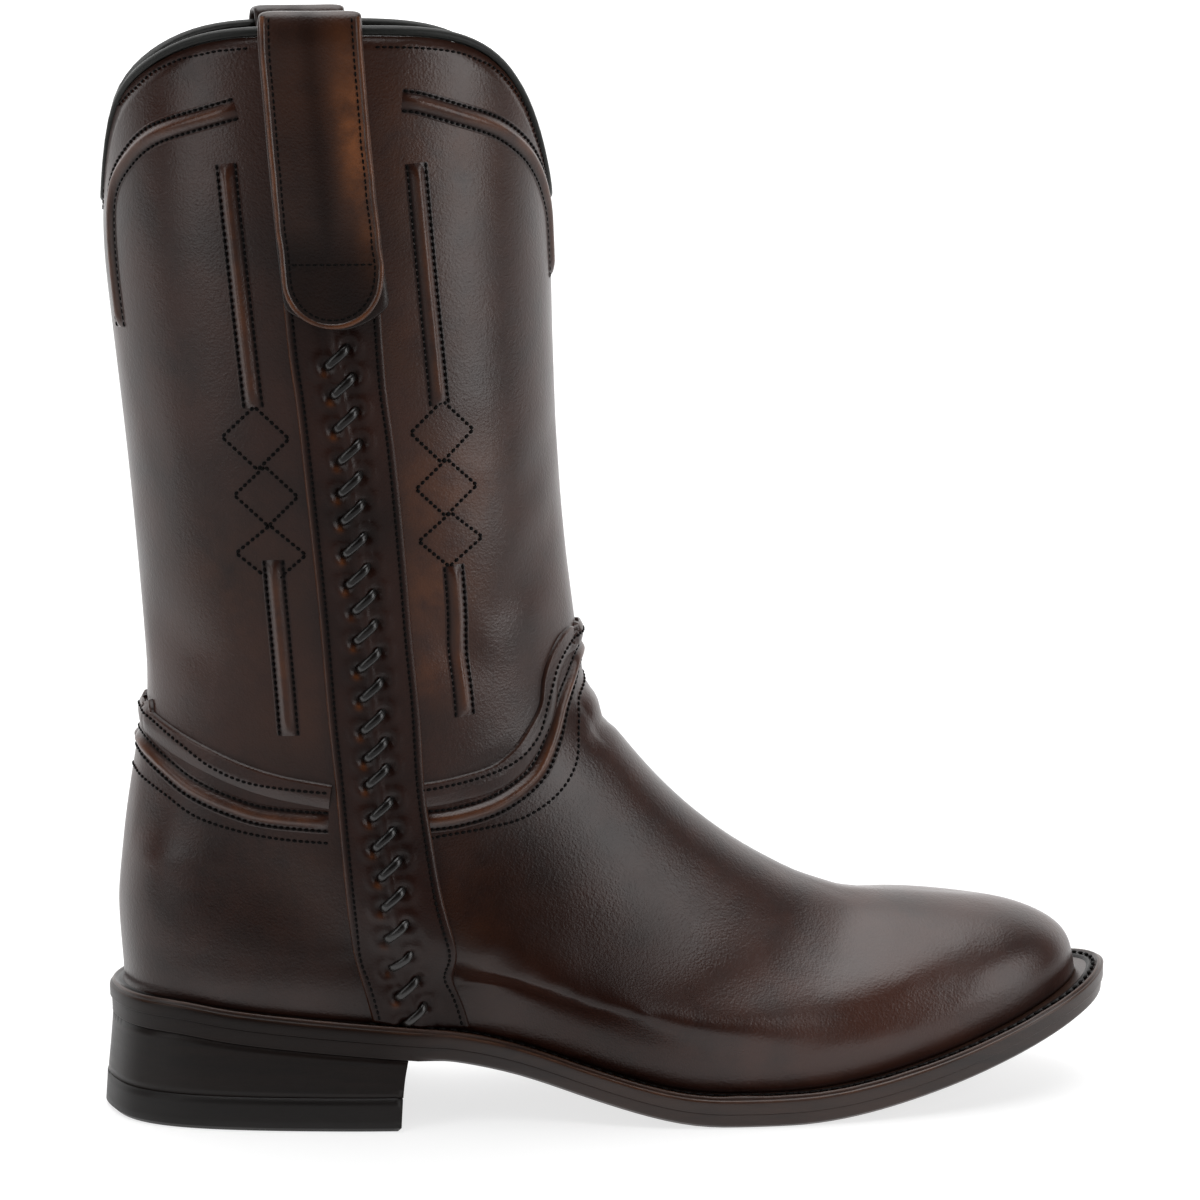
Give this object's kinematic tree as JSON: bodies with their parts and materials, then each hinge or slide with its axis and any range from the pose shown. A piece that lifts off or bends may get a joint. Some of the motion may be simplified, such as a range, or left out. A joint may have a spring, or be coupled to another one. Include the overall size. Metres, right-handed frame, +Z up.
{
  "type": "roper boot",
  "caption": "Mid-height pull-on roper boot with a round toe, low block heel, scalloped collar, pull straps and whip-laced side strips.",
  "frame": {"origin": "middle of the heel's flat underside, on the ground", "axes": "+X to the toe, +Y to the inner side of the right foot, +Z up the shaft"},
  "size_m": [0.3034, 0.1079, 0.3236],
  "materials": {
    "brown_leather": "smooth waxed leather, soft gloss",
    "strip_leather": "smooth leather with burnished edges",
    "strap_leather": "worn, burnished leather",
    "lace": "dark glossy lace",
    "binding": "dark matt binding",
    "insole_board": "plain undyed leather",
    "welt_leather": "waxed edge",
    "sole_leather": "dark dressed leather",
    "stacked_leather": "dark dressed layers",
    "heel_rubber": "matt"
  },
  "bodies": {
    "root": {"upper": "brown_leather", "side_strip_outer": "strip_leather", "side_strip_inner": "strip_leather", "pull_strap_outer": "strap_leather", "pull_strap_inner": "strap_leather", "lacing_outer": "lace", "lacing_inner": "lace", "collar_binding": "binding", "insole": "insole_board", "welt": "welt_leather", "outsole": "sole_leather", "heel_stack": "stacked_leather", "heel_cap": "heel_rubber"}
  },
  "joints": []
}
